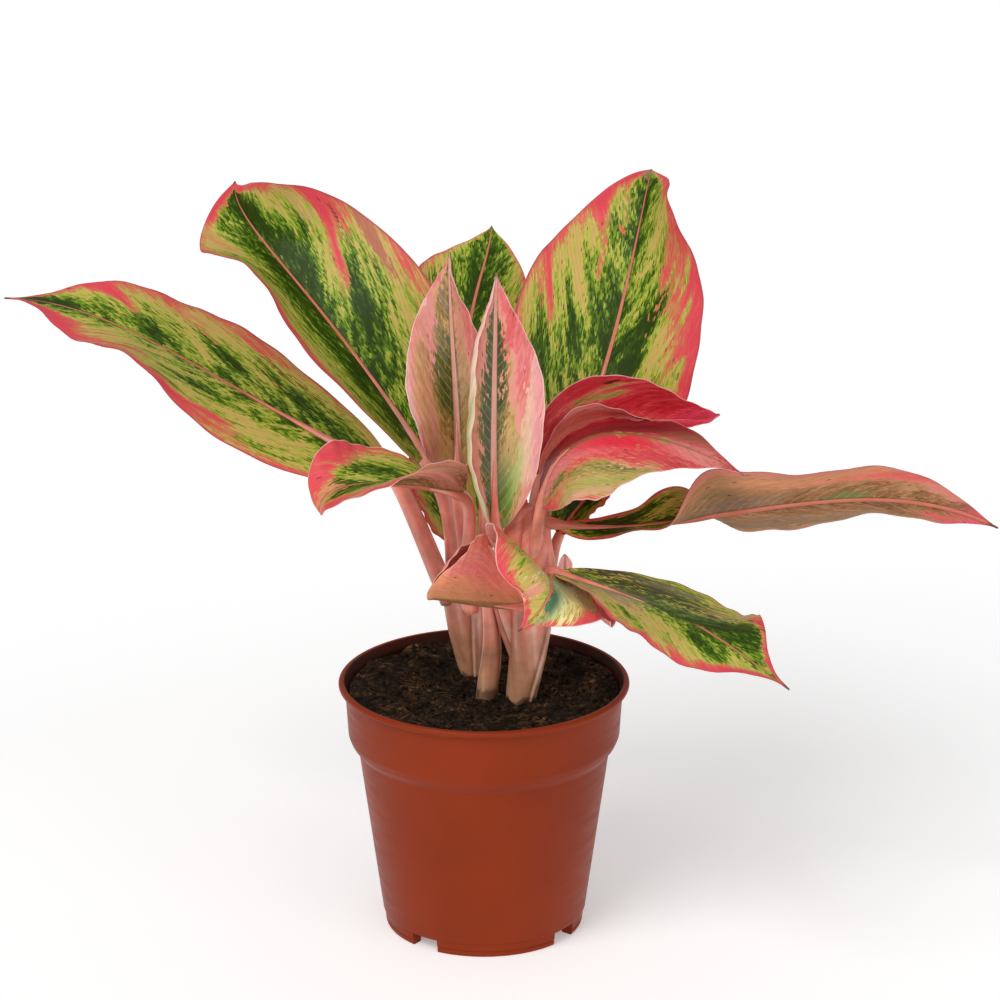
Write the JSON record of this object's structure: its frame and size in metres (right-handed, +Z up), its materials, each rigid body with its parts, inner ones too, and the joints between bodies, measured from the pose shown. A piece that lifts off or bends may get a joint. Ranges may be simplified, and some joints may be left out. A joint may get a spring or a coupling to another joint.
{
  "type": "potted chinese evergreen",
  "caption": "Leafy houseplant with broad pointed leaves, green with red margins, on sheathed canes in a round tapered plastic nursery pot.",
  "frame": {"origin": "on the pot's axis, at the level of the pot's feet", "axes": "+Z up, +X to the viewer's right along the plant's widest spread, -Y towards the viewer"},
  "size_m": [0.4003, 0.2046, 0.2986],
  "materials": {
    "pot": "satin terracotta-coloured plastic with a fine moulded grain",
    "soil": "damp dark peat mix, crumbly and matt",
    "cane": "smooth pink plant skin, pale and browner near the mix",
    "leaf": "waxy green leaf with yellow-green streaks, pink midrib and red margin",
    "young_leaf": "glossy pale pink and olive young leaf",
    "red_leaf": "waxy red leaf with olive patches"
  },
  "bodies": {
    "root": {"pot": "pot", "soil": "soil", "cane_left": "cane", "cane_middle": "cane", "cane_right": "cane", "leaf_left_low": "leaf", "leaf_left_high": "leaf", "leaf_back_left": "leaf", "leaf_left_small": "leaf", "leaf_young_left": "young_leaf", "leaf_back_centre": "leaf", "leaf_young_right": "young_leaf", "leaf_red_upper": "red_leaf", "leaf_red_lower": "red_leaf", "leaf_right_long": "leaf", "leaf_right_drooping": "leaf", "leaf_front_folded": "leaf", "leaf_front_low": "leaf", "leaf_back_right": "leaf", "leaf_right_high": "leaf", "sheath_tip": "young_leaf"}
  },
  "joints": []
}
